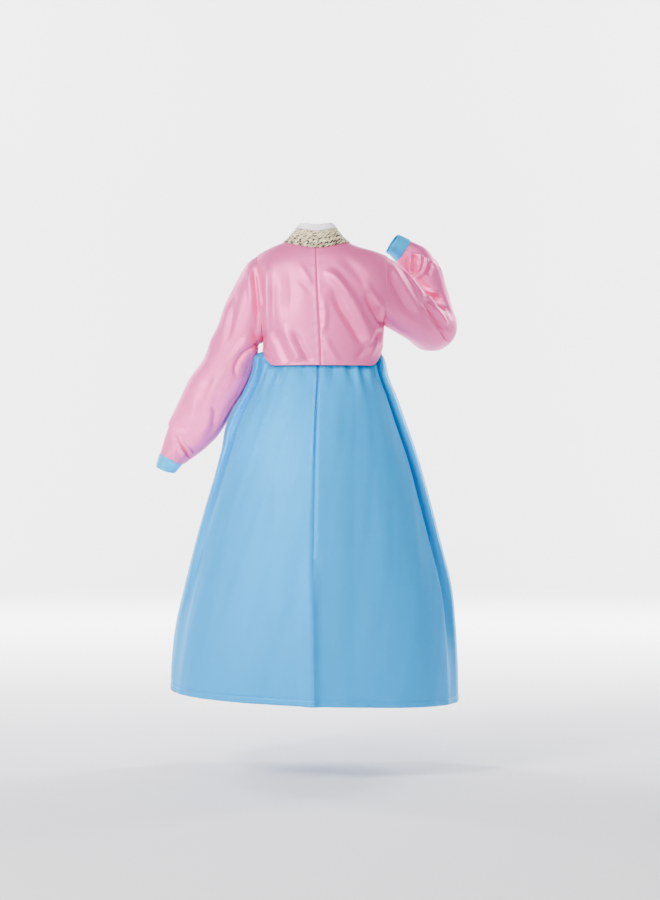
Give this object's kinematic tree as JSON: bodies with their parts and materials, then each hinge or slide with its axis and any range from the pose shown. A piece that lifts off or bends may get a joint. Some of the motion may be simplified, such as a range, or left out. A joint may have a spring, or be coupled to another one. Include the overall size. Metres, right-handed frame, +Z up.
{
  "type": "korean hanbok",
  "caption": "Child's short satin jacket with brocade collar and tie ribbons over a full high-waisted satin skirt, standing open and hollow as worn.",
  "frame": {"origin": "base of the neck at shoulder height, in the middle of the garment, where the wearer's shoulders carry it", "axes": "+Z up; the wearer faces -Y; the wearer's left is +X"},
  "size_m": [0.597, 0.4352, 0.9262],
  "materials": {
    "pink": "light pink satin",
    "blue": "sky blue satin",
    "cuff_blue": "pale sky blue satin",
    "gold": "cream and gold floral brocade",
    "white": "plain white cloth"
  },
  "bodies": {
    "root": {"jeogori_back_left": "pink", "jeogori_back_right": "pink", "jeogori_front_left": "pink", "jeogori_front_right": "pink", "sleeve_left": "pink", "sleeve_left_lower": "pink", "sleeve_left_wrist": "pink", "sleeve_right": "pink", "sleeve_right_lower": "pink", "cuff_left": "cuff_blue", "cuff_right": "cuff_blue", "collar_git": "gold", "dongjeong": "white", "chima_back_left": "blue", "chima_back_right": "blue", "chima_front": "blue", "malgi_band": "white", "strap_left": "white", "strap_right": "white", "goreum_knot": "cuff_blue", "goreum_loop": "cuff_blue", "goreum_long_tail": "cuff_blue", "goreum_short_tail": "cuff_blue"}
  },
  "joints": []
}
